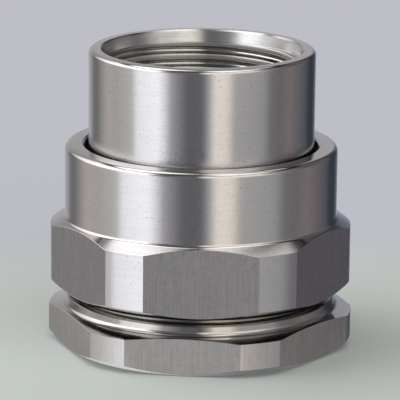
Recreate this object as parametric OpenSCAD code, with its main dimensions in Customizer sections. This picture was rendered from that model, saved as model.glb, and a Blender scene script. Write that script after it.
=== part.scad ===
// Explosion-proof conduit union, 1 inch trade size, female by female.
// The bore runs along Z. The underside of the lower hexagon stands on Z = 0.

/* [Conduit sockets] */
// Mean diameter of the tapered pipe thread
pipe_thread_d = 32; // [31:0.1:33]
// Length of the thread's wall in each socket
pipe_thread_l = 12.8; // [11.2:0.1:13.6]
// Depth of the plain counterbore's wall outside the thread's mean radius
counterbore_step = 0.85; // [0.7:0.05:1.1]
// Length of the counterbore, with its chamfer
counterbore_l = 2.05; // [1.5:0.05:2.6]
// Chamfer at the mouth of each socket
mouth_chamfer = 0.35; // [0.2:0.05:0.6]
// Height at which the smooth bushing stands in from the thread's mean radius
bushing_step = 3.2; // [2.7:0.1:3.7]
// Rounding of the bushing's edge, which keeps wire from chafing
bushing_round = 1.1; // [0.4:0.1:1.4]

/* [Lower body] */
// Height at which the cone over the hexagon would meet the land
body_shoulder_h = 6.73; // [6:0.01:7.6]
// Angle of the cone over the hexagon
body_top_angle = 16; // [10:1:22]
// Angle of the chamfer under the hexagon
body_under_angle = 30; // [20:1:36]
// Depth of the hexagon's flats outside the land
body_flat_stand = 1.2; // [1:0.05:1.8]
// What the lathe takes off each sharp corner of the hexagon
body_corner_cut = 1.83; // [1.4:0.01:2.2]
// Width of the chamfer under each flat
body_face_inset = 0.5; // [0.2:0.1:0.8]
// Turn of the lower hexagon from the nut's, as it happened to screw up
body_turn = -7.2; // [-30:0.1:30]
// Radius of the polished fillet at the foot of the land
neck_fillet = 1.1; // [0.7:0.1:1.3]
// Height of the land's upper edge over the shoulder
land_rise = 1.51; // [1.2:0.01:1.9]
// Step from the neck out to the land
land_step = 1.7; // [1.5:0.05:1.9]
// Thickness of the bushing between socket and bore
body_bushing_t = 2.2; // [1.8:0.1:3]

/* [Upper hub] */
// Wall of the hub round the counterbore
hub_wall = 2.4; // [1.8:0.1:3]
// Height of the hub over the nut
hub_rise = 16.4; // [13:0.1:20]
// Rounding of the rim's outer edge
rim_round = 0.8; // [0.4:0.1:1.2]
// Width of the collar outside the hub
collar_w = 1.8; // [1.4:0.1:2.4]
// Thickness of the collar
collar_t = 3; // [2.4:0.1:4]
// Wall of the spigot that slides in the body's bore
spigot_wall = 3.7; // [3.2:0.1:4.2]
// Chamfer of small turned edges
edge_chamfer = 0.3; // [0.1:0.1:0.4]

/* [Union nut] */
// Gap between the lower hexagon's shoulder and the nut
nut_gap = 2.67; // [2.3:0.01:3.2]
// Wall of the sleeve
sleeve_wall = 2; // [1.6:0.1:2.6]
// Height of the sleeve
sleeve_h = 12.4; // [10.4:0.1:15]
// Radius of the fillet at the foot of the sleeve
sleeve_fillet = 0.8; // [0.2:0.1:1]
// Rounding of the sleeve's top edge
sleeve_round = 1; // [0.5:0.1:1.3]
// Height of the hexagon up to the foot of the sleeve
nut_hex_h = 12.6; // [10.6:0.1:15]
// Depth of the nut's flats outside the sleeve
nut_flat_stand = 0.65; // [0.5:0.05:1.2]
// What the lathe takes off each sharp corner of the nut
nut_corner_cut = 1.9; // [1.4:0.1:2.2]
// Width of the chamfer under each flat of the nut
nut_face_inset = 0.7; // [0.2:0.1:1]
// Angle of the chamfers over and under the nut's hexagon
nut_angle = 32; // [24:1:36]
// Thickness of the lip that holds the collar down
lip_t = 3; // [2:0.1:3.6]

/* [Union thread] */
// Depth of the nut's thread, at its mean radius, outside the nut's upper bore
thread_step = 0.5; // [0.4:0.05:0.7]
// Length of thread in the nut
nut_thread_l = 12; // [10:0.1:14]
// Plain length between the body's last thread and the end of the nut's
thread_end_gap = 0.5; // [0.3:0.1:1.5]
// Chamfer at the thread's ends
thread_chamfer = 0.5; // [0.3:0.1:0.7]
// Depth of the run-out groove under the body's thread
groove_step = 0.5; // [0.4:0.1:0.8]
// Height of the run-out groove inside the nut
groove_rise = 1.2; // [0.8:0.1:2]

/* [Seal ring] */
// Thickness of the ring as it sits in its groove
seal_t = 1.74; // [1.4:0.01:2]
// Play of the ring along its groove
seal_slack = 0.66; // [0.3:0.01:1]
// Distance from the collar down to the groove
seal_groove_drop = 1.8; // [1.2:0.1:4]

/* [Fits] */
// Gap between the hub and the hole in the nut's lip, on the radius
hub_gap = 0.75; // [0.5:0.05:1]
// Play between the collar and the nut's upper bore, on the radius
collar_play = 0.2; // [0.1:0.05:0.3]
// Play between the nut's thread and the body's, on the radius
thread_play = 0.05; // [0.02:0.01:0.08]
// Play between the spigot and its bore, on the radius
spigot_play = 0.05; // [0.02:0.01:0.08]
// Play between the ring and its groove or bore, on the radius
seal_play = 0.03; // [0.02:0.01:0.05]
// Gap under the end of the spigot
spigot_end_gap = 0.4; // [0.3:0.1:1]

/* [Hidden] */
$fn = 96;
arc_steps = 6;
overcut = 1;
steel = "#B4B2AE";
rubber = "#26272A";

// Radii of the sockets and of the hub, from the pipe thread outwards
pipe_thread_r = pipe_thread_d / 2;
counterbore_r = pipe_thread_r + counterbore_step;
mouth_r = counterbore_r + mouth_chamfer;
throat_r = pipe_thread_r - bushing_step;
hub_r = counterbore_r + hub_wall;
collar_r = hub_r + collar_w;
spigot_r = throat_r + spigot_wall;
bore_r = spigot_r + spigot_play;
seal_floor_r = bore_r - 2 * seal_play - seal_t;

// Radii of the nut, from the collar outwards
nut_hole_r = hub_r + hub_gap;
nut_bore_r = collar_r + collar_play;
nut_thread_r = nut_bore_r + thread_step;
sleeve_r = nut_bore_r + sleeve_wall;
nut_flat_r = sleeve_r + nut_flat_stand;
nut_corner_r = turned_corner_r(nut_flat_r, nut_corner_cut);
nut_face_r = nut_flat_r - nut_face_inset;

// Radii of the lower body's outside, from its thread down to its hexagon
body_thread_r = nut_thread_r - thread_play;
neck_r = body_thread_r - groove_step;
land_r = neck_r + land_step;
body_flat_r = land_r + body_flat_stand;
body_corner_r = turned_corner_r(body_flat_r, body_corner_cut);
body_face_r = body_flat_r - body_face_inset;

// Depth of a socket, from its mouth to the bushing
socket_l = counterbore_l + pipe_thread_l;

// Heights, from the ground up
shelf_z = socket_l + body_bushing_t;
spigot_end_z = shelf_z + spigot_end_gap;
land_z = body_shoulder_h + land_rise;
nut_z = body_shoulder_h + nut_gap;
thread_start_z = nut_z + groove_rise;
nut_thread_end_z = nut_z + nut_thread_l;
body_thread_end_z = nut_thread_end_z - thread_end_gap;
sleeve_z = nut_z + nut_hex_h;
nut_top_z = sleeve_z + sleeve_h;
lip_z = nut_top_z - lip_t;
seat_z = lip_z - collar_t;
rim_z = nut_top_z + hub_rise;
seal_groove_w = seal_t + seal_slack;
seal_groove_z = seat_z - seal_groove_drop - seal_groove_w;

// Points of a round stretch, from angle a to angle b
function arc(centre, r, a, b) = [
    for (i = [0:arc_steps])
        let (t = a + (b - a) * i / arc_steps)
            [centre[0] + r * cos(t), centre[1] + r * sin(t)]
];

// Radius of a hexagon's corners once the lathe has taken off their tips
function turned_corner_r(flat_r, cut) = flat_r / cos(30) - cut;

// Height on a cone that leaves radius r at height z and falls outwards at angle a
function cone_z(r, z, a, at_r) = z - (at_r - r) * tan(a);

// Fillet between such a cone and an upright wall at radius r, from the cone up
function foot_fillet(r, z, a, f) =
    arc([r + f, z + f * (1 / cos(a) - tan(a))], f, 270 - a, 180);

// A shape turned on the axis from its half section
module turned(points) {
    rotate_extrude()
        polygon(points);
}

// What the mill takes off to leave six flats
module milled_flats(flat_r, corner_r, z, h) {
    for (side = [0:5])
        rotate(60 * side)
            translate([-corner_r, -flat_r - corner_r, z])
                cube([2 * corner_r, corner_r, h]);
}

// What is bored out for a pipe: mouth at Z = 0, bushing at the far end, throat to the given depth
module socket_bore(depth) {
    turned(concat(
        [[0, -overcut],
         [mouth_r + overcut, -overcut],
         [counterbore_r, mouth_chamfer],
         [counterbore_r, counterbore_l],
         [pipe_thread_r, counterbore_l],
         [pipe_thread_r, socket_l]],
        arc([throat_r + bushing_round, socket_l + bushing_round], bushing_round, 270, 180),
        [[throat_r, depth],
         [0, depth]]));
}

// Half section of the lower body's outside
function body_section() = concat(
    [[0, 0],
     [body_face_r, 0],
     [body_corner_r, -cone_z(body_face_r, 0, body_under_angle, body_corner_r)],
     [body_corner_r, cone_z(land_r, body_shoulder_h, body_top_angle, body_corner_r)]],
    foot_fillet(land_r, body_shoulder_h, body_top_angle, neck_fillet),
    [[land_r, land_z],
     [neck_r, land_z],
     [neck_r, thread_start_z - thread_chamfer],
     [body_thread_r, thread_start_z],
     [body_thread_r, body_thread_end_z - thread_chamfer],
     [collar_r, body_thread_end_z],
     [collar_r, seat_z - edge_chamfer],
     [collar_r - edge_chamfer, seat_z],
     [0, seat_z]]);

module lower_body() {
    color(steel)
        difference() {
            turned(body_section());
            rotate(body_turn)
                milled_flats(body_flat_r, body_corner_r, -overcut, land_z + overcut);
            socket_bore(shelf_z + overcut);
            translate([0, 0, shelf_z])
                cylinder(r = bore_r, h = seat_z - shelf_z + overcut);
            translate([0, 0, seat_z - edge_chamfer])
                cylinder(r1 = bore_r, r2 = bore_r + edge_chamfer + overcut, h = edge_chamfer + overcut);
        }
}

// Half section of the nut's outside
function nut_section() = concat(
    [[0, nut_z],
     [nut_face_r, nut_z],
     [nut_corner_r, 2 * nut_z - cone_z(nut_face_r, nut_z, nut_angle, nut_corner_r)],
     [nut_corner_r, cone_z(sleeve_r, sleeve_z, nut_angle, nut_corner_r)]],
    foot_fillet(sleeve_r, sleeve_z, nut_angle, sleeve_fillet),
    arc([sleeve_r - sleeve_round, nut_top_z - sleeve_round], sleeve_round, 0, 90),
    [[0, nut_top_z]]);

// Half section of what is bored out of the nut
function nut_bore_section() = [
    [0, nut_z - overcut],
    [nut_thread_r + thread_chamfer + overcut, nut_z - overcut],
    [nut_thread_r, nut_z + thread_chamfer],
    [nut_thread_r, nut_thread_end_z],
    [nut_bore_r, nut_thread_end_z + thread_step],
    [nut_bore_r, lip_z],
    [nut_hole_r, lip_z],
    [nut_hole_r, nut_top_z - edge_chamfer],
    [nut_hole_r + edge_chamfer + overcut, nut_top_z + overcut],
    [0, nut_top_z + overcut]];

module union_nut() {
    color(steel)
        difference() {
            turned(nut_section());
            milled_flats(nut_flat_r, nut_corner_r, nut_z - overcut, nut_hex_h + overcut);
            turned(nut_bore_section());
        }
}

// Half section of the hub's outside, with the seal's groove
function hub_section() = concat(
    [[0, spigot_end_z],
     [spigot_r - edge_chamfer, spigot_end_z],
     [spigot_r, spigot_end_z + edge_chamfer],
     [spigot_r, seal_groove_z],
     [seal_floor_r, seal_groove_z],
     [seal_floor_r, seal_groove_z + seal_groove_w],
     [spigot_r, seal_groove_z + seal_groove_w],
     [spigot_r, seat_z],
     [collar_r - edge_chamfer, seat_z],
     [collar_r, seat_z + edge_chamfer],
     [collar_r, lip_z - edge_chamfer],
     [collar_r - edge_chamfer, lip_z],
     [hub_r, lip_z]],
    arc([hub_r - rim_round, rim_z - rim_round], rim_round, 0, 90),
    [[0, rim_z]]);

module upper_hub() {
    color(steel)
        difference() {
            turned(hub_section());
            translate([0, 0, rim_z])
                mirror([0, 0, 1])
                    socket_bore(rim_z - spigot_end_z + overcut);
        }
}

module seal_ring() {
    color(rubber)
        translate([0, 0, seal_groove_z + seal_groove_w / 2])
            rotate_extrude()
                translate([bore_r - seal_play - seal_t / 2, 0])
                    circle(d = seal_t);
}

lower_body();
union_nut();
upper_hub();
seal_ring();
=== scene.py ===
"""Looks of an explosion-proof conduit union, in metres and in the part's own frame."""

import math

import bpy
from mathutils import Matrix, Vector


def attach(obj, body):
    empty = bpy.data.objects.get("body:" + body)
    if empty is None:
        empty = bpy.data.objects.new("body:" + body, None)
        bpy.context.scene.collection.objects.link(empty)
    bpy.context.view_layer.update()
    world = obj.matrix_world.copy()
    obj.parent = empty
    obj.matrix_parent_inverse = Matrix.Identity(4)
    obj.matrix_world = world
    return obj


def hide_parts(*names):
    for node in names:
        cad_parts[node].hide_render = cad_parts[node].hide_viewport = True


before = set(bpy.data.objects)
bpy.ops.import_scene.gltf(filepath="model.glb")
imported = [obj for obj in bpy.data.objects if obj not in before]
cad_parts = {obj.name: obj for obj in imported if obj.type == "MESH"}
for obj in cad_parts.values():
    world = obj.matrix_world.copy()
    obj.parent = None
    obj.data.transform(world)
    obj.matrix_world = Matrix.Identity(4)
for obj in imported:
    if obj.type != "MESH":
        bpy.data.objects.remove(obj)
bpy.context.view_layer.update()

MM = 0.001
FULL_TURN = 2 * math.pi
TURN_STEPS = 180  # columns round each turned piece, 2 degrees apart
HAIR = 0.001 * MM  # points nearer than this are one point
WALL_MATCH = 0.0005  # mm by which a point may miss the wall that it is on
WALL_CLEAR = 0.01  # mm between a wall's ends and the rows next to them
ARC_STEPS = 8  # rows round each rounded edge and fillet
SMOOTH_ANGLE = 16  # degrees under which two faces are shaded as one

# Sizes, in mm

# Sockets for the pipe thread, 11 turns to the inch
PIPE_PITCH = 2.309
PIPE_WALL_R = 16.0  # plain wall that the thread is cut in
PIPE_MEAN_R = 16.05  # half way down, where the thread is half as wide as its pitch
PIPE_TAPER = 1 / 32  # fall of the radius with depth, 1 in 16 on the diameter
PIPE_LIFT = (-0.35, 0.45)  # crest and root, from there outwards
PIPE_BREAK = 0.12  # how far the crest's edges are rounded
PIPE_ROWS = (0.0, 0.1, 0.12, 0.135, 0.15, 0.165, 0.18, 0.2, 0.24, 0.294)  # crest and flank
PIPE_ROWS += (0.325, 0.36, 0.395, 0.43, 0.465, 0.5)  # and round the root
PIPE_START = 0.224  # turn of the thread where it shows best
PIPE_RUN_OUT = 2.6  # length over which the last turns fade
COUNTERBORE_R = 16.85
COUNTERBORE_L = 2.05
COUNTERBORE_DRAW = 0.2  # how much wider it is at its mouth, and narrower at its foot
MOUTH_R = 17.3
SOCKET_L = 14.85
THROAT_R = 12.8
BUSHING_ROUND = 1.1

# Union thread between the lower body and the nut, 16 turns to the inch
UNION_PITCH = 1.5875
UNION_MEAN_R = 21.74
UNION_LIFT = (-0.49, 0.46)
UNION_BODY_RANGE = (21.25, 22.2)  # root and crest
UNION_NUT_RANGE = (21.33, 22.3)  # crest and root
UNION_PLAY = 0.06
UNION_CORNER = 0.012  # share of a turn that each corner of the thread is wide to one side
UNION_WALL_R = 21.7  # plain wall that the body's thread is cut on
UNION_BORE_R = 21.75  # plain wall that the nut's thread is cut in

# Lower body
BODY_FACE_R = 23.6
BODY_CORNER_R = 25.998
BODY_FLAT_R = 24.1
BODY_TURN = -7.2  # degrees
BODY_SHOULDER_Z = 6.73
BODY_TOP_ANGLE = 16
BODY_UNDER_ANGLE = 30
BODY_UNDER_RING = 2.0  # width of the outermost ring of faces underneath
LAND_R = 22.9
LAND_Z = 8.24
LAND_EDGE = 0.1
NECK_R = 21.2
NECK_END_Z = 10.1
NECK_FILLET = 1.1
NECK_FOOT = 0.25
BODY_THREAD_END_Z = 20.9
PILOT_R = 21.05
SEAT_Z = 28.4
BORE_R = 16.55
SHELF_Z = 17.05

# Union nut
NUT_Z = 9.4
NUT_MOUTH_R = 22.45
NUT_FACE_R = 23.2
NUT_CORNER_R = 25.697
NUT_FLAT_R = 23.9
NUT_ANGLE = 32
SLEEVE_R = 23.25
SLEEVE_Z = 22.0
SLEEVE_FILLET = 0.8
SLEEVE_ROUND = 1.0
NUT_TOP_Z = 34.4
NUT_HOLE_R = 20.0
NUT_BORE_R = 21.25
NUT_THREAD_END_Z = 21.9
LIP_Z = 31.4

# Upper hub
HUB_R = 19.25
RIM_Z = 50.8
RIM_ROUND = 0.8
COLLAR_R = 21.05
SPIGOT_R = 16.5
SPIGOT_END_Z = 17.45
SEAL_FLOOR_R = 14.75
SEAL_GROOVE = (24.2, 26.6)
EDGE_BREAK = 0.3
HUB_ROWS = (34.5, 37.5, 41.0)  # rows up the hub's wall, between which its finish may change

# Milled flats
FLAT_BREAK = 0.04  # broken edge round each flat
FLAT_MERGE = 0.03  # points nearer than this are one after a flat is cut
FLAT_FACING = 0.9999  # how nearly a face looks the flat's way
FLAT_MATCH = 0.01  # how nearly it lies in the flat's plane

# Modelling


def linear(code):
    """A colour written as an sRGB hex value, as linear RGBA."""
    parts = [int(code[i : i + 2], 16) / 255 for i in (1, 3, 5)]
    return [p / 12.92 if p <= 0.04045 else ((p + 0.055) / 1.055) ** 2.4 for p in parts] + [1.0]


def work_on(piece):
    """Makes this piece the only one selected."""
    bpy.ops.object.select_all(action="DESELECT")
    piece.select_set(True)
    bpy.context.view_layer.objects.active = piece


def arc(centre, radius, start, end, steps):
    """Points of a round stretch in a half section, angles in degrees."""
    turns = [math.radians(start + (end - start) * i / steps) for i in range(steps + 1)]
    return [(centre[0] + radius * math.cos(t), centre[1] + radius * math.sin(t)) for t in turns]


def foot_fillet(radius, z, angle, size, steps):
    """Fillet from a cone, which leaves this radius at this height, up to an upright wall."""
    slope = math.radians(angle)
    middle = (radius + size, z + size * (1 / math.cos(slope) - math.tan(slope)))
    return arc(middle, size, 270 - angle, 180, steps)


def cone_z(radius, z, angle, at_radius):
    """Height at another radius on a cone that leaves this radius and falls outwards."""
    return z - (at_radius - radius) * math.tan(math.radians(angle))


def thread_phases(lift, pitch):
    """Where the corners and flanks of a thread lie, as shares of a turn, from crest to crest."""
    full = pitch * math.sqrt(3) / 4
    crest, root = [0.5 - (1 - edge / full) / 4 for edge in lift]
    half = [0.0, crest * 0.5, crest - UNION_CORNER, crest + UNION_CORNER, (crest + root) / 2]
    half += [root - UNION_CORNER, root + UNION_CORNER]
    return half + [0.5] + [1 - phase for phase in reversed(half[1:])]


def wall_rows(radius, low, high, pitch, phases):
    """Rows of a plain wall, from one pitch under it up, that a thread is then cut along. The rows
    between its ends keep WALL_CLEAR from them."""
    first = math.floor(low / pitch) - 2
    last = math.ceil(high / pitch) + 2
    rows = [pitch * (turn + phase) for turn in range(first, last) for phase in phases]
    inner = [z for z in rows if low - pitch + WALL_CLEAR < z < high - WALL_CLEAR]
    return [(radius, z) for z in [low - pitch] + inner + [high]]


def draw_section(name, points):
    """Draws a half section in the XZ plane, point after point."""
    bpy.ops.object.select_all(action="DESELECT")
    bpy.ops.mesh.primitive_plane_add(size=MM)
    piece = bpy.context.object
    piece.name = piece.data.name = name
    bpy.ops.object.mode_set(mode="EDIT")
    bpy.ops.mesh.merge(type="CENTER")
    bpy.ops.transform.translate(value=(points[0][0] * MM, 0, points[0][1] * MM))
    for (r0, z0), (r1, z1) in zip(points, points[1:]):
        step = ((r1 - r0) * MM, 0, (z1 - z0) * MM)
        bpy.ops.mesh.extrude_vertices_move(TRANSFORM_OT_translate={"value": step})
    return piece


def ridge(phase, pitch):
    """Height of a sharp sixty degree thread over its mean line, crest at half a turn."""
    return (1 - 4 * abs(phase % 1 - 0.5)) * pitch * math.sqrt(3) / 4


def cut_thread(piece, wall_r, low, high, pitch, radius_at):
    """Slides the rows of a plain wall along a helix and moves each point in or out to the thread.
    Where the turn closes, at +X, one column of faces is sheared by a pitch and shows as a seam."""
    for point in piece.data.vertices:
        radius = math.hypot(point.co.x, point.co.y) / MM
        if abs(radius - wall_r) > WALL_MATCH:
            continue
        share = (math.atan2(point.co.y, point.co.x) / FULL_TURN) % 1
        if point.select or share > 1 - 0.25 / TURN_STEPS:
            share = 1.0 if point.select else 0.0
        z = min(max(point.co.z / MM + pitch * share, low), high)
        scale = radius_at(z, z / pitch - share) / radius
        point.co = (point.co.x * scale, point.co.y * scale, z * MM)


def turned_piece(name, section, threads):
    """Spins a closed half section round the axis and cuts its threads."""
    piece = draw_section(name, section + [section[0]])
    bpy.ops.mesh.select_all(action="SELECT")
    bpy.ops.mesh.spin(steps=TURN_STEPS, angle=FULL_TURN, center=(0, 0, 0), axis=(0, 0, 1))
    bpy.ops.object.mode_set(mode="OBJECT")
    for thread in threads:
        cut_thread(piece, *thread)
    work_on(piece)
    bpy.ops.object.mode_set(mode="EDIT")
    bpy.ops.mesh.select_all(action="SELECT")
    bpy.ops.mesh.remove_doubles(threshold=HAIR)
    bpy.ops.mesh.dissolve_degenerate(threshold=HAIR)
    bpy.ops.mesh.normals_make_consistent(inside=False)
    bpy.ops.object.mode_set(mode="OBJECT")
    return piece


def flat_ways(turn):
    """The ways that six flats look, the first to the front, turned by degrees."""
    angles = [math.radians(turn - 90 + 60 * side) for side in range(6)]
    return [Vector((math.cos(angle), math.sin(angle), 0)) for angle in angles]


def on_flat(normal, place, out, flat_r):
    """Whether a face lies on the flat that looks this way."""
    return normal.dot(out) > FLAT_FACING and abs(place.dot(out) / MM - flat_r) < FLAT_MATCH


def mill_flats(piece, flat_r, turn):
    """Mills six flats on the round blank and breaks their edges."""
    bpy.ops.object.mode_set(mode="EDIT")
    for out in flat_ways(turn):
        bpy.ops.mesh.select_all(action="SELECT")
        bpy.ops.mesh.bisect(
            plane_co=out * flat_r * MM, plane_no=out, use_fill=True, clear_outer=True
        )
        bpy.ops.mesh.remove_doubles(threshold=FLAT_MERGE * MM)
        bpy.ops.mesh.select_all(action="DESELECT")
        bpy.ops.object.mode_set(mode="OBJECT")
        for face in piece.data.polygons:
            face.select = on_flat(face.normal, face.center, out, flat_r)
        bpy.ops.object.mode_set(mode="EDIT")
        bpy.ops.mesh.region_to_loop()
        bpy.ops.mesh.bevel(
            offset=FLAT_BREAK * MM, segments=1, affect="EDGES", mark_sharp=True, harden_normals=False
        )
    bpy.ops.mesh.select_all(action="SELECT")
    bpy.ops.mesh.normals_make_consistent(inside=False)
    bpy.ops.object.mode_set(mode="OBJECT")


def dress(piece, body, node, finishes):
    """Shades a piece, gives each of its faces the first finish whose test it meets, and seats it."""
    work_on(piece)
    bpy.ops.object.shade_smooth_by_angle(angle=math.radians(SMOOTH_ANGLE))
    for finish, _ in finishes:
        piece.data.materials.append(finish)
    for face in piece.data.polygons:
        place = face.center
        radius = math.hypot(place.x, place.y) / MM
        for index, (_, test) in enumerate(finishes):
            if test(radius, place.z / MM, face.normal, place):
                face.material_index = index
                break
    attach(piece, body)
    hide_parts(node)


# Materials

MARK_LENGTH = 9.0  # mm that a tool mark runs before it fades
BLOTCH = 1.1  # mm across the faint clouding of handled steel
BLOOM = 0.8  # mm across the clouding of old rubber
MOULD_GRAIN = 0.06  # mm across the grain that rubber takes from its mould
MOULD_DEPTH = 0.006  # mm deep


def add_node(tree, kind, settings=None, inputs=None, links=None):
    """Adds a node with its settings, its input values and the sockets linked to its inputs."""
    node = tree.nodes.new(kind)
    for key, value in (settings or {}).items():
        setattr(node, key, value)
    for key, value in (inputs or {}).items():
        node.inputs[key].default_value = value
    for key, source in (links or {}).items():
        tree.links.new(source, node.inputs[key])
    return node


def fill_ramp(ramp, stops):
    """Sets the stops of a colour ramp from pairs of place and colour."""
    while len(ramp.elements) < len(stops):
        ramp.elements.new(1.0)
    for element, (place, colour) in zip(ramp.elements, stops):
        element.position = place
        element.color = colour


def machined_steel(
    name, colour, roughness, spread, marks, width, contrast, depth, dirt=0.22, grain=0.3
):
    """Machined stainless steel. Tool marks of a width and depth in mm run round the axis, or up a
    flat where marks is UP, shade the colour by contrast, and smear reflections across them. Dark
    grains, this many mm across, grow in number with dirt."""
    material = bpy.data.materials.new(name)
    material.use_nodes = True
    tree = material.node_tree
    shader = tree.nodes["Principled BSDF"]
    shader.inputs["Metallic"].default_value = 1.0
    shader.inputs["Anisotropic"].default_value = spread
    shader.inputs["Anisotropic Rotation"].default_value = 0.0 if marks == "UP" else 0.25
    place = add_node(tree, "ShaderNodeTexCoord").outputs["Object"]
    around = add_node(
        tree, "ShaderNodeVectorMath", {"operation": "CROSS_PRODUCT"}, {0: (0, 0, 1)}, {1: place}
    )
    tangent = add_node(
        tree,
        "ShaderNodeVectorTransform",
        {"vector_type": "VECTOR", "convert_from": "OBJECT", "convert_to": "WORLD"},
        links={0: around.outputs[0]},
    )
    tree.links.new(tangent.outputs[0], shader.inputs["Tangent"])

    axes = add_node(tree, "ShaderNodeSeparateXYZ", links={0: place})
    radius = add_node(
        tree, "ShaderNodeVectorMath", {"operation": "LENGTH"}, links={0: around.outputs[0]}
    )
    along = add_node(
        tree,
        "ShaderNodeMath",
        {"operation": "ADD"},
        links={0: axes.outputs["Z"], 1: radius.outputs["Value"]},
    )
    line = add_node(
        tree,
        "ShaderNodeCombineXYZ",
        links={
            "X": axes.outputs["X"],
            "Y": axes.outputs["Y"],
            "Z": axes.outputs["Z"] if marks == "UP" else along.outputs[0],
        },
    )
    fine, long = 1 / (width * MM), 1 / (MARK_LENGTH * MM)
    stretch = add_node(
        tree,
        "ShaderNodeVectorMath",
        {"operation": "MULTIPLY"},
        {1: (fine, fine, long) if marks == "UP" else (long, long, fine)},
        {0: line.outputs[0]},
    )
    grooves = add_node(
        tree,
        "ShaderNodeTexNoise",
        inputs={"Scale": 1.0, "Detail": 3.0, "Roughness": 0.65},
        links={"Vector": stretch.outputs[0]},
    )
    blotches = add_node(
        tree,
        "ShaderNodeTexNoise",
        inputs={"Scale": 1 / (BLOTCH * MM), "Detail": 4.0, "Roughness": 0.7},
        links={"Vector": place},
    )
    shade = add_node(
        tree,
        "ShaderNodeMix",
        {"data_type": "FLOAT"},
        {"Factor": 0.35},
        {"A": grooves.outputs[0], "B": blotches.outputs[0]},
    )
    light = linear(colour)
    dark = [c * (1 - contrast) for c in light[:3]] + [1.0]
    tone = add_node(tree, "ShaderNodeValToRGB", links={0: shade.outputs[0]})
    fill_ramp(tone.color_ramp, [(0.36, dark), (0.58, light)])
    specks = add_node(
        tree,
        "ShaderNodeTexNoise",
        inputs={"Scale": 1 / (grain * MM), "Detail": 1.0},
        links={"Vector": place},
    )
    grime = add_node(tree, "ShaderNodeValToRGB", links={0: specks.outputs[0]})
    fill_ramp(grime.color_ramp, [(dirt, (0.66, 0.65, 0.63, 1.0)), (dirt + 0.12, (1, 1, 1, 1))])
    soiled = add_node(
        tree,
        "ShaderNodeMix",
        {"data_type": "RGBA", "blend_type": "MULTIPLY"},
        {"Factor": 1.0},
        {"A": tone.outputs[0], "B": grime.outputs[0]},
    )
    tree.links.new(soiled.outputs["Result"], shader.inputs["Base Color"])
    dull = add_node(
        tree,
        "ShaderNodeMapRange",
        inputs={
            "From Min": 0.35,
            "From Max": 0.65,
            "To Min": roughness * 1.07,
            "To Max": roughness * 0.94,
        },
        links={"Value": shade.outputs[0]},
    )
    tree.links.new(dull.outputs[0], shader.inputs["Roughness"])
    relief = add_node(
        tree,
        "ShaderNodeBump",
        inputs={"Strength": 1.0, "Distance": depth * MM},
        links={"Height": grooves.outputs[0]},
    )
    tree.links.new(relief.outputs[0], shader.inputs["Normal"])
    return material


# Hub, sleeve and nut's corners: stainless turned with a fine feed. The marks run round it, so the
# soft boxes show as upright bands with blurred ends. Real marks are 0.1 to 0.2 mm apart, and are
# drawn 0.2 to 0.3 mm apart on all turned steel here, so that they show.
turned_steel = machined_steel(
    "turned_stainless", "#D2D1D1", 0.2, 0.7, "ROUND", 0.3, 0.04, 0.0004
)
# Foot of the hub in front: the same steel with fine dark grains caught above the sleeve
soiled_steel = machined_steel(
    "speckled_turned_stainless", "#D2D1D1", 0.2, 0.7, "ROUND", 0.3, 0.04, 0.0004, 0.33, 0.17
)
# Nut's flats: stainless milled with an upright feed. Fine upright streaks and a dull, darker grey.
# Real marks are about 0.05 mm apart, and are drawn wider here and on the base, so that they show.
milled_steel = machined_steel(
    "milled_stainless", "#BDBDBF", 0.29, 0.85, "UP", 0.13, 0.26, 0.005
)
# Base's flats: the same cut, coarser, with plain streaks; their paler tone is painted light from the
# table below
base_steel = machined_steel(
    "coarse_milled_painted_light_stainless", "#D7D7D3", 0.36, 0.85, "UP", 0.16, 0.26, 0.006
)
# Cones of the body and the nut: turned and then polished, with clear reflections
bright_steel = machined_steel(
    "polished_stainless", "#D4D2D0", 0.1, 0.3, "ROUND", 0.3, 0.06, 0.001
)
# Rim and sleeve's rounded edge: worn bright by handling, so they carry thin, crisp highlights
edge_steel = machined_steel(
    "polished_edge_stainless", "#D6D4D2", 0.12, 0.5, "ROUND", 0.3, 0.06, 0.001
)
# Thread flanks and roots: cut clean by a tap, glossy with faint marks along the thread
thread_steel = machined_steel(
    "cut_thread_stainless", "#D2D1CE", 0.13, 0.4, "ROUND", 0.2, 0.16, 0.002
)
# Thread crests: rubbed duller than the flanks by other threads, and painted paler as light they catch
crest_steel = machined_steel(
    "worn_crest_painted_light_stainless", "#E4E3E0", 0.36, 0.3, "ROUND", 0.2, 0.2, 0.002
)
# Neck's upright wall in the gap under the nut: turned steel, its darker warm grey painted as the nut's
# shade
neck_shade_steel = machined_steel(
    "shade_painted_turned_stainless", "#B4B2AD", 0.16, 0.6, "ROUND", 0.3, 0.2, 0.002
)
# Neck's fillet and land: buffed to a mirror, so they show sharp dark and light lines
mirror_steel = machined_steel(
    "mirror_polished_stainless", "#C6C4C1", 0.05, 0.2, "ROUND", 0.3, 0.06, 0.0006
)
# Counterbores: bored, with closer and plainer rings than the outside
bored_steel = machined_steel(
    "bored_stainless", "#D4D4D2", 0.2, 0.6, "ROUND", 0.25, 0.12, 0.002
)
# Base's corners: the drawn skin of the bar, dull and even, with faint upright lines
bar_steel = machined_steel(
    "drawn_bar_stainless", "#DAD8D5", 0.34, 0.3, "UP", 0.16, 0.12, 0.003
)
# Nut's hole and bore, and the collar's top: bored steel, painted dark as shade in the gap round the
# hub
gap_shade_steel = machined_steel(
    "shade_painted_bored_stainless", "#5C5B59", 0.4, 0.5, "ROUND", 0.3, 0.3, 0.004
)

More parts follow.
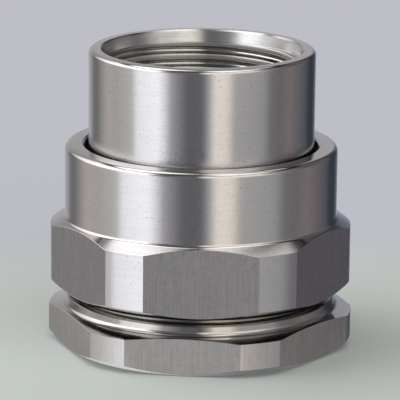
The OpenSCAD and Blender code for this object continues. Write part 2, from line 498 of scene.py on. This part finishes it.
# Moulded nitrile rubber: near black with a faint grey bloom, and the fine grain of its mould
seal_rubber = bpy.data.materials.new("moulded_nitrile_rubber")
seal_rubber.use_nodes = True
rubber_tree = seal_rubber.node_tree
rubber_shader = rubber_tree.nodes["Principled BSDF"]
rubber_shader.inputs["IOR"].default_value = 1.52
rubber_place = add_node(rubber_tree, "ShaderNodeTexCoord").outputs["Object"]
rubber_bloom = add_node(
    rubber_tree,
    "ShaderNodeTexNoise",
    inputs={"Scale": 1 / (BLOOM * MM), "Detail": 3.0},
    links={"Vector": rubber_place},
)
rubber_tone = add_node(rubber_tree, "ShaderNodeValToRGB", links={0: rubber_bloom.outputs[0]})
fill_ramp(rubber_tone.color_ramp, [(0.4, linear("#1A1B1D")), (0.66, linear("#2B2C2E"))])
rubber_tree.links.new(rubber_tone.outputs[0], rubber_shader.inputs["Base Color"])
rubber_dull = add_node(
    rubber_tree,
    "ShaderNodeMapRange",
    inputs={"From Min": 0.35, "From Max": 0.65, "To Min": 0.48, "To Max": 0.62},
    links={"Value": rubber_bloom.outputs[0]},
)
rubber_tree.links.new(rubber_dull.outputs[0], rubber_shader.inputs["Roughness"])
rubber_grain = add_node(
    rubber_tree,
    "ShaderNodeTexNoise",
    inputs={"Scale": 1 / (MOULD_GRAIN * MM), "Detail": 2.0},
    links={"Vector": rubber_place},
)
rubber_relief = add_node(
    rubber_tree,
    "ShaderNodeBump",
    inputs={"Strength": 1.0, "Distance": MOULD_DEPTH * MM},
    links={"Height": rubber_grain.outputs[0]},
)
rubber_tree.links.new(rubber_relief.outputs[0], rubber_shader.inputs["Normal"])
seal_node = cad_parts["seal_ring"]
seal_node.data.materials.clear()
seal_node.data.materials.append(seal_rubber)

# Pieces

pipe_phases = list(PIPE_ROWS) + [1 - phase for phase in PIPE_ROWS[-2:0:-1]]
pipe_phases = [phase - PIPE_START for phase in pipe_phases]
union_phases = thread_phases(UNION_LIFT, UNION_PITCH)


def rounded_thread(phase):
    """Height of the pipe thread over its mean line, with a round root and a blunt crest."""
    sharp = PIPE_PITCH * math.sqrt(3) / 4
    root_r = sharp - PIPE_LIFT[1]
    away = abs(phase % 1 - 0.5) * PIPE_PITCH
    if away < root_r * math.cos(math.radians(30)):
        height = sharp - 2 * root_r + math.sqrt(root_r**2 - away**2)
    else:
        height = sharp - math.sqrt(3) * away
    over = height - PIPE_LIFT[0]
    return PIPE_LIFT[0] + (over + math.hypot(over, PIPE_BREAK)) / 2


def taper(depth):
    """How much wider the pipe thread is at this depth than half way down."""
    return PIPE_TAPER * ((COUNTERBORE_L + SOCKET_L) / 2 - depth)


def pipe_radius(mouth_z):
    """Radius of the thread in a socket whose mouth is at this height."""

    def at(z, phase):
        depth = abs(mouth_z - z)
        fade = min(1.0, max(0.0, (SOCKET_L - depth) / PIPE_RUN_OUT))
        return PIPE_MEAN_R + taper(depth) + rounded_thread(phase + PIPE_START) * fade

    return at


def body_thread_radius(z, phase):
    """Radius of the thread on the lower body, chamfered at both ends."""
    low, high = UNION_BODY_RANGE
    radius = min(max(UNION_MEAN_R + ridge(phase, UNION_PITCH), low), high)
    return min(radius, NECK_R + (z - NECK_END_Z), PILOT_R + (BODY_THREAD_END_Z - z))


def nut_thread_radius(z, phase):
    """Radius of the thread in the nut, which clears the body's by the play."""
    low, high = UNION_NUT_RANGE
    radius = min(max(UNION_MEAN_R + UNION_PLAY + ridge(phase, UNION_PITCH), low), high)
    return min(max(radius, NUT_MOUTH_R - (z - NUT_Z)), NUT_BORE_R + (NUT_THREAD_END_Z - z))


# Lower body, from the mouth of its socket outwards and round
low_socket = (PIPE_WALL_R, COUNTERBORE_L, SOCKET_L, PIPE_PITCH)
body_thread = (UNION_WALL_R, NECK_END_Z, BODY_THREAD_END_Z, UNION_PITCH)
under_z = (BODY_CORNER_R - BODY_FACE_R) * math.tan(math.radians(BODY_UNDER_ANGLE))
body_section = (
    [
        (MOUTH_R, 0),
        (BODY_FACE_R - BODY_UNDER_RING, 0),
        (BODY_FACE_R, 0),
        (BODY_CORNER_R, under_z),
        (BODY_CORNER_R, cone_z(LAND_R, BODY_SHOULDER_Z, BODY_TOP_ANGLE, BODY_CORNER_R)),
    ]
    + foot_fillet(LAND_R, BODY_SHOULDER_Z, BODY_TOP_ANGLE, NECK_FILLET, ARC_STEPS)
    + [(LAND_R, LAND_Z - LAND_EDGE), (LAND_R - LAND_EDGE, LAND_Z), (NECK_R + NECK_FOOT, LAND_Z)]
    + [(NECK_R, LAND_Z + NECK_FOOT), (NECK_R, NECK_END_Z)]
    + wall_rows(*body_thread[:3], UNION_PITCH, union_phases)
    + [
        (PILOT_R, BODY_THREAD_END_Z),
        (PILOT_R, SEAT_Z - EDGE_BREAK),
        (PILOT_R - EDGE_BREAK, SEAT_Z),
        (BORE_R + EDGE_BREAK, SEAT_Z),
        (BORE_R, SEAT_Z - EDGE_BREAK),
        (BORE_R, SHELF_Z),
        (THROAT_R, SHELF_Z),
    ]
    + arc(
        (THROAT_R + BUSHING_ROUND, SOCKET_L + BUSHING_ROUND), BUSHING_ROUND, 180, 270, ARC_STEPS
    )
    + wall_rows(*low_socket[:3], PIPE_PITCH, pipe_phases)[::-1]
    + [
        (COUNTERBORE_R - COUNTERBORE_DRAW, COUNTERBORE_L),
        (COUNTERBORE_R + COUNTERBORE_DRAW, MOUTH_R - COUNTERBORE_R - COUNTERBORE_DRAW),
    ]
)
lower_body = turned_piece(
    "lower_body_machined",
    body_section,
    [(*low_socket, pipe_radius(0.0)), (*body_thread, body_thread_radius)],
)
mill_flats(lower_body, BODY_FLAT_R, BODY_TURN)

# Union nut, from its lower mouth outwards and round
nut_thread = (UNION_BORE_R, NUT_Z, NUT_THREAD_END_Z, UNION_PITCH)
nut_under_z = NUT_Z + (NUT_CORNER_R - NUT_FACE_R) * math.tan(math.radians(NUT_ANGLE))
nut_section = (
    [
        (NUT_MOUTH_R, NUT_Z),
        (NUT_FACE_R, NUT_Z),
        (NUT_CORNER_R, nut_under_z),
        (NUT_CORNER_R, cone_z(SLEEVE_R, SLEEVE_Z, NUT_ANGLE, NUT_CORNER_R)),
    ]
    + foot_fillet(SLEEVE_R, SLEEVE_Z, NUT_ANGLE, SLEEVE_FILLET, ARC_STEPS)
    + arc((SLEEVE_R - SLEEVE_ROUND, NUT_TOP_Z - SLEEVE_ROUND), SLEEVE_ROUND, 0, 90, ARC_STEPS)
    + [
        (NUT_HOLE_R + EDGE_BREAK, NUT_TOP_Z),
        (NUT_HOLE_R, NUT_TOP_Z - EDGE_BREAK),
        (NUT_HOLE_R, LIP_Z),
        (NUT_BORE_R, LIP_Z),
        (NUT_BORE_R, NUT_THREAD_END_Z),
    ]
    + wall_rows(*nut_thread[:3], UNION_PITCH, union_phases)[::-1]
)
union_nut = turned_piece("union_nut_machined", nut_section, [(*nut_thread, nut_thread_radius)])
mill_flats(union_nut, NUT_FLAT_R, 0.0)

# Upper hub, from the end of its spigot up the outside and down the socket
high_socket = (PIPE_WALL_R, RIM_Z - SOCKET_L, RIM_Z - COUNTERBORE_L, PIPE_PITCH)
hub_section = (
    [
        (THROAT_R, SPIGOT_END_Z),
        (SPIGOT_R - EDGE_BREAK, SPIGOT_END_Z),
        (SPIGOT_R, SPIGOT_END_Z + EDGE_BREAK),
        (SPIGOT_R, SEAL_GROOVE[0]),
        (SEAL_FLOOR_R, SEAL_GROOVE[0]),
        (SEAL_FLOOR_R, SEAL_GROOVE[1]),
        (SPIGOT_R, SEAL_GROOVE[1]),
        (SPIGOT_R, SEAT_Z),
        (COLLAR_R - EDGE_BREAK, SEAT_Z),
        (COLLAR_R, SEAT_Z + EDGE_BREAK),
        (COLLAR_R, LIP_Z - EDGE_BREAK),
        (COLLAR_R - EDGE_BREAK, LIP_Z),
        (HUB_R, LIP_Z),
    ]
    + [(HUB_R, z) for z in HUB_ROWS]
    + arc((HUB_R - RIM_ROUND, RIM_Z - RIM_ROUND), RIM_ROUND, 0, 90, ARC_STEPS)
    + [
        (MOUTH_R, RIM_Z),
        (
            COUNTERBORE_R + COUNTERBORE_DRAW,
            RIM_Z - (MOUTH_R - COUNTERBORE_R - COUNTERBORE_DRAW),
        ),
        (COUNTERBORE_R - COUNTERBORE_DRAW, RIM_Z - COUNTERBORE_L),
    ]
    + wall_rows(*high_socket[:3], PIPE_PITCH, pipe_phases)[::-1]
    + arc(
        (THROAT_R + BUSHING_ROUND, RIM_Z - SOCKET_L - BUSHING_ROUND),
        BUSHING_ROUND,
        90,
        180,
        ARC_STEPS,
    )
)
upper_hub = turned_piece("upper_hub_machined", hub_section, [(*high_socket, pipe_radius(RIM_Z))])


def is_flat(flat_r, turn):
    """A test for the faces of six flats."""
    outs = flat_ways(turn)
    return lambda radius, z, normal, place: any(on_flat(normal, place, o, flat_r) for o in outs)


def anywhere(radius, z, normal, place):
    """A test that every face meets."""
    return True


def looks_in(normal, place):
    """Whether a face looks towards the axis."""
    return normal.x * place.x + normal.y * place.y < 0


# Where one finish gives way to the next, in mm
CREST_R = 15.9  # half way down the pipe thread
CREST_END = 1.5  # length at the thread's end where no crest stands
SOCKET_R = 16.8
COUNTERBORE_EDGE_R = 17.19
BODY_SKIN_R = 21.0
NECK_FROM_Z = LAND_Z - 0.15
FILLET_FROM_Z, FILLET_R = 6.6, 24.2
BODY_CONE_Z = 5.5
BODY_THREAD_R, BODY_THREAD_Z = (21.06, 22.4), (9, 21)
NUT_CONE_R, NUT_CONE_Z = 23.2, (21.4, 23)
NUT_UNDER_R, NUT_UNDER_Z = 22.4, 11
NUT_THREAD_R, NUT_THREAD_Z = 22.6, 22
SLEEVE_EDGE_R, SLEEVE_EDGE_W = 20.4, 0.9
LIP_R, HOLE_R = 21.3, 20.05
RIM_EDGE_R, RIM_EDGE_W = 17.2, 0.7
SPECKLED_Z, SPECKLED_X = (34, 38), (-7, 1)
HUB_SKIN_R = 19.0
COLLAR_TOP_R, COLLAR_TOP_W = 19.2, 0.3

dress(
    lower_body,
    "lower_body",
    "lower_body",
    [
        # Base's flats: paler tone painted as light thrown up from the table below
        (base_steel, is_flat(BODY_FLAT_R, BODY_TURN)),
        (bar_steel, lambda radius, z, n, p: radius > BODY_CORNER_R - 0.1 and abs(n.z) < 0.1),
        # Neck under the nut: darker grey painted as the shade that the nut casts
        (neck_shade_steel, lambda radius, z, n, p: radius > BODY_SKIN_R and NECK_FROM_Z < z < NECK_END_Z),
        (
            mirror_steel,
            lambda radius, z, n, p: FILLET_FROM_Z < z < LAND_Z and BODY_SKIN_R < radius < FILLET_R,
        ),
        (
            bright_steel,
            lambda radius, z, n, p: BODY_CONE_Z < z < LAND_Z and radius > BODY_SKIN_R and n.z > 0.5,
        ),
        # Crests of the pipe thread: duller from rubbing, with a paler tone painted as light
        (
            crest_steel,
            lambda radius, z, n, p: radius < CREST_R + taper(z) and z < SOCKET_L - CREST_END,
        ),
        (thread_steel, lambda radius, z, n, p: radius < SOCKET_R and z < SOCKET_L),
        (bored_steel, lambda radius, z, n, p: radius < COUNTERBORE_EDGE_R and looks_in(n, p)),
        (
            thread_steel,
            lambda radius, z, n, p: BODY_THREAD_R[0] < radius < BODY_THREAD_R[1]
            and BODY_THREAD_Z[0] < z < BODY_THREAD_Z[1],
        ),
        (turned_steel, anywhere),
    ],
)
dress(
    union_nut,
    "union_nut",
    "union_nut",
    [
        (milled_steel, is_flat(NUT_FLAT_R, 0.0)),
        (
            bright_steel,
            lambda radius, z, n, p: NUT_CONE_Z[0] < z < NUT_CONE_Z[1] and radius > NUT_CONE_R,
        ),
        (
            bright_steel,
            lambda radius, z, n, p: z < NUT_UNDER_Z and n.z < -0.2 and radius > NUT_UNDER_R,
        ),
        (
            edge_steel,
            lambda radius, z, n, p: z > NUT_TOP_Z - SLEEVE_EDGE_W
            and n.z > 0.1
            and radius > SLEEVE_EDGE_R,
        ),
        # Hole and bore of the nut: darker colour painted as the shade of the gap round the hub
        (
            gap_shade_steel,
            lambda radius, z, n, p: z > NUT_THREAD_Z and radius < (LIP_R if z < LIP_Z + 1 else HOLE_R),
        ),
        (thread_steel, lambda radius, z, n, p: radius < NUT_THREAD_R and z < NUT_THREAD_Z),
        (turned_steel, anywhere),
    ],
)
dress(
    upper_hub,
    "upper_hub",
    "upper_hub",
    [
        # Crests of the pipe thread: duller from rubbing, with a paler tone painted as light
        (
            crest_steel,
            lambda radius, z, n, p: radius < CREST_R + taper(RIM_Z - z)
            and z > RIM_Z - SOCKET_L + CREST_END,
        ),
        (thread_steel, lambda radius, z, n, p: radius < SOCKET_R and z > RIM_Z - SOCKET_L - 2),
        (
            edge_steel,
            lambda radius, z, n, p: z > RIM_Z - RIM_EDGE_W and n.z > 0.1 and radius > RIM_EDGE_R,
        ),
        (
            soiled_steel,
            lambda radius, z, n, p: radius > HUB_SKIN_R
            and SPECKLED_Z[0] < z < SPECKLED_Z[1]
            and p.y < 0
            and SPECKLED_X[0] < p.x / MM < SPECKLED_X[1],
        ),
        # Top of the collar, down in the nut's hole: darker colour painted as the shade of the gap
        (
            gap_shade_steel,
            lambda radius, z, n, p: radius > COLLAR_TOP_R
            and abs(z - LIP_Z) < COLLAR_TOP_W
            and n.z > 0.5,
        ),
        (bored_steel, lambda radius, z, n, p: radius < COUNTERBORE_EDGE_R and looks_in(n, p)),
        (turned_steel, anywhere),
    ],
)

# Camera

CAMERA_RISE = math.radians(13.6619)  # height angle of the view
CAMERA_TURN = math.radians(-0.4644)
CAMERA_ROLL = math.radians(0.6012)
CAMERA_WAY = 553.556  # mm to the point looked at
LOOK_X, LOOK_Z = -0.1407, 24.316  # mm
CAMERA_SENSOR, CAMERA_LENS = 36.0, 290.93  # mm

camera_data = bpy.data.cameras.new("photo_camera")
camera_data.sensor_width = CAMERA_SENSOR
camera_data.lens = CAMERA_LENS
camera_data.clip_start = 0.01
camera = bpy.data.objects.new("photo_camera", camera_data)
bpy.context.scene.collection.objects.link(camera)
stand = Vector(
    (
        LOOK_X * MM,
        -CAMERA_WAY * math.cos(CAMERA_RISE) * MM,
        (LOOK_Z + CAMERA_WAY * math.sin(CAMERA_RISE)) * MM,
    )
)
camera.matrix_world = (
    Matrix.Rotation(CAMERA_TURN, 4, "Z")
    @ Matrix.Translation(stand)
    @ Matrix.Rotation(math.pi / 2 - CAMERA_RISE, 4, "X")
    @ Matrix.Rotation(CAMERA_ROLL, 4, "Z")
)
bpy.context.scene.camera = camera

# Floor and lighting

FLOOR_SIZE = 6.0  # metres
FLOOR_GAP = 0.02  # mm under the base
FLOOR_CHANGE = (0.03, 0.08)  # metres behind the axis where its tone turns cooler

bpy.ops.object.select_all(action="DESELECT")
bpy.ops.mesh.primitive_plane_add(size=FLOOR_SIZE, location=(0, 0, -FLOOR_GAP * MM))
floor = bpy.context.object
floor.name = "pale_floor"
floor.visible_glossy = False
floor_paint = bpy.data.materials.new("pale_floor")
floor_paint.use_nodes = True
floor_tree = floor_paint.node_tree
floor_shader = floor_tree.nodes["Principled BSDF"]
floor_shader.inputs["Roughness"].default_value = 0.6
floor_place = add_node(floor_tree, "ShaderNodeTexCoord").outputs["Object"]
floor_axes = add_node(floor_tree, "ShaderNodeSeparateXYZ", links={0: floor_place})
floor_blend = add_node(
    floor_tree,
    "ShaderNodeMapRange",
    {"interpolation_type": "SMOOTHSTEP"},
    {"From Min": FLOOR_CHANGE[0], "From Max": FLOOR_CHANGE[1]},
    {"Value": floor_axes.outputs["Y"]},
)
floor_colour = add_node(
    floor_tree,
    "ShaderNodeMix",
    {"data_type": "RGBA"},
    {"A": linear("#DEE8E4"), "B": linear("#D9DDE8")},
    {"Factor": floor_blend.outputs[0]},
)
floor_tree.links.new(floor_colour.outputs["Result"], floor_shader.inputs["Base Color"])
floor.data.materials.append(floor_paint)

# Light of a studio with soft boxes and dark screens round the object: azimuth in degrees from
# the front, positive to the right, then red, green and blue strength
LOW_STUDIO = [
    (-180, (0.50, 0.50, 0.54)),
    (-153, (0.42, 0.41, 0.43)),
    (-144, (0.21, 0.205, 0.22)),
    (-133, (0.19, 0.185, 0.19)),
    (-112, (0.56, 0.51, 0.50)),
    (-97, (0.52, 0.49, 0.485)),
    (-75, (0.64, 0.62, 0.62)),
    (-69, (1.22, 1.22, 1.28)),
    (-45, (1.46, 1.46, 1.50)),
    (-38, (1.08, 1.08, 1.12)),
    (-32, (0.50, 0.49, 0.54)),
    (-21, (0.27, 0.26, 0.29)),
    (-15, (0.16, 0.155, 0.175)),
    (1, (0.15, 0.155, 0.17)),
    (7, (0.50, 0.50, 0.50)),
    (13, (1.16, 1.09, 1.00)),
    (25, (1.10, 1.00, 0.90)),
    (33, (0.52, 0.50, 0.50)),
    (64, (0.42, 0.42, 0.43)),
    (73, (0.23, 0.22, 0.24)),
    (84, (0.20, 0.18, 0.19)),
    (99, (0.26, 0.22, 0.225)),
    (121, (0.15, 0.145, 0.17)),
    (130, (0.11, 0.11, 0.13)),
    (139, (0.045, 0.05, 0.065)),
    (153, (0.045, 0.055, 0.07)),
    (164, (0.17, 0.20, 0.25)),
    (172, (0.40, 0.42, 0.47)),
    (180, (0.50, 0.50, 0.54)),
]
HIGH_STUDIO = [
    (-180, (0.38, 0.36, 0.36)),
    (-168, (0.40, 0.39, 0.39)),
    (-156, (0.36, 0.35, 0.36)),
    (-147, (0.36, 0.35, 0.36)),
    (-139, (1.05, 1.00, 0.98)),
    (-128, (1.40, 1.32, 1.28)),
    (-100, (2.00, 1.96, 1.96)),
    (-50, (1.95, 1.95, 1.98)),
    (-42, (0.45, 0.45, 0.46)),
    (-34, (0.18, 0.18, 0.18)),
    (-4, (0.18, 0.18, 0.18)),
    (4, (1.22, 1.16, 1.08)),
    (52, (1.12, 1.07, 1.02)),
    (66, (0.50, 0.48, 0.47)),
    (80, (0.25, 0.24, 0.24)),
    (105, (0.12, 0.11, 0.11)),
    (125, (0.14, 0.13, 0.13)),
    (135, (0.16, 0.15, 0.15)),
    (142, (0.07, 0.07, 0.08)),
    (156, (0.06, 0.06, 0.08)),
    (165, (0.36, 0.36, 0.40)),
    (171, (0.52, 0.50, 0.50)),
    (180, (0.38, 0.36, 0.36)),
]
TOP_STUDIO = [
    (-180, (0.28, 0.27, 0.26)),
    (-158, (0.28, 0.27, 0.26)),
    (-146, (1.60, 1.56, 1.55)),
    (-125, (1.90, 1.86, 1.85)),
    (-84, (1.90, 1.87, 1.86)),
    (-70, (1.30, 1.27, 1.26)),
    (-56, (0.45, 0.44, 0.43)),
    (-46, (0.12, 0.12, 0.12)),
    (-2, (0.12, 0.12, 0.12)),
    (10, (0.50, 0.48, 0.46)),
    (30, (1.70, 1.62, 1.56)),
    (84, (1.60, 1.54, 1.48)),
    (96, (0.60, 0.57, 0.54)),
    (104, (0.20, 0.19, 0.19)),
    (126, (0.20, 0.19, 0.19)),
    (132, (1.10, 1.05, 1.02)),
    (142, (1.10, 1.05, 1.02)),
    (154, (0.28, 0.27, 0.26)),
    (180, (0.28, 0.27, 0.26)),
]
UNDER_STUDIO = [
    (-180, (0.45, 0.45, 0.45)),
    (-168, (1.10, 1.09, 1.07)),
    (-120, (1.00, 0.99, 0.97)),
    (-85, (0.16, 0.16, 0.16)),
    (85, (0.14, 0.14, 0.14)),
    (120, (0.18, 0.19, 0.20)),
    (168, (0.10, 0.11, 0.12)),
    (180, (0.45, 0.45, 0.45)),
]
world = bpy.data.worlds.new("soft_studio")
bpy.context.scene.world = world
world.use_nodes = True
sky = world.node_tree
sky.nodes.clear()
way = add_node(sky, "ShaderNodeTexCoord").outputs["Generated"]
axes = add_node(sky, "ShaderNodeSeparateXYZ", links={0: way})
back = add_node(
    sky, "ShaderNodeMath", {"operation": "MULTIPLY"}, {1: -1.0}, {0: axes.outputs["Y"]}
)
azimuth = add_node(
    sky, "ShaderNodeMath", {"operation": "ARCTAN2"}, links={0: axes.outputs["X"], 1: back.outputs[0]}
)
share = add_node(
    sky,
    "ShaderNodeMapRange",
    inputs={"From Min": -math.pi, "From Max": math.pi},
    links={"Value": azimuth.outputs[0]},
)
rings = []
for stops in (LOW_STUDIO, HIGH_STUDIO, TOP_STUDIO, UNDER_STUDIO):
    ring = add_node(sky, "ShaderNodeValToRGB", links={0: share.outputs[0]})
    fill_ramp(ring.color_ramp, [((a + 180) / 360, (*colour, 1.0)) for a, colour in stops])
    rings.append(ring)
low_bands, high_bands, top_bands, under_bands = rings
# The gap between the boxes round the object and those over it
gap = add_node(sky, "ShaderNodeValToRGB", links={0: axes.outputs["Z"]})
fill_ramp(
    gap.color_ramp,
    [(z, (c, c, c, 1.0)) for z, c in [(0.67, 1.0), (0.71, 0.1), (0.77, 0.1), (0.79, 1.0)]],
)
raised = add_node(
    sky,
    "ShaderNodeMapRange",
    {"interpolation_type": "SMOOTHSTEP"},
    {"From Min": 0.08, "From Max": 0.34},
    {"Value": axes.outputs["Z"]},
)
bands = add_node(
    sky,
    "ShaderNodeMix",
    {"data_type": "RGBA"},
    links={"Factor": raised.outputs[0], "A": low_bands.outputs[0], "B": high_bands.outputs[0]},
)
overhead = add_node(
    sky,
    "ShaderNodeMapRange",
    {"interpolation_type": "SMOOTHSTEP"},
    {"From Min": 0.72, "From Max": 0.8},
    {"Value": axes.outputs["Z"]},
)
with_top = add_node(
    sky,
    "ShaderNodeMix",
    {"data_type": "RGBA"},
    links={
        "Factor": overhead.outputs[0],
        "A": bands.outputs["Result"],
        "B": top_bands.outputs[0],
    },
)
underfoot = add_node(
    sky,
    "ShaderNodeMapRange",
    {"interpolation_type": "SMOOTHSTEP"},
    {"From Min": -0.3, "From Max": -0.62},
    {"Value": axes.outputs["Z"]},
)
with_gap = add_node(
    sky,
    "ShaderNodeMix",
    {"data_type": "RGBA", "blend_type": "MULTIPLY"},
    {"Factor": 1.0},
    {"A": with_top.outputs["Result"], "B": gap.outputs[0]},
)
studio = add_node(
    sky,
    "ShaderNodeMix",
    {"data_type": "RGBA"},
    links={
        "Factor": underfoot.outputs[0],
        "A": with_gap.outputs["Result"],
        "B": under_bands.outputs[0],
    },
)
seen = add_node(sky, "ShaderNodeLightPath").outputs["Is Camera Ray"]
backdrop = add_node(
    sky,
    "ShaderNodeMix",
    {"data_type": "RGBA"},
    {"B": linear("#BDC2CC")},
    {"Factor": seen, "A": studio.outputs["Result"]},
)
background = add_node(sky, "ShaderNodeBackground", links={"Color": backdrop.outputs["Result"]})
add_node(sky, "ShaderNodeOutputWorld", links={"Surface": background.outputs[0]})

bpy.context.scene.view_settings.view_transform = "Standard"
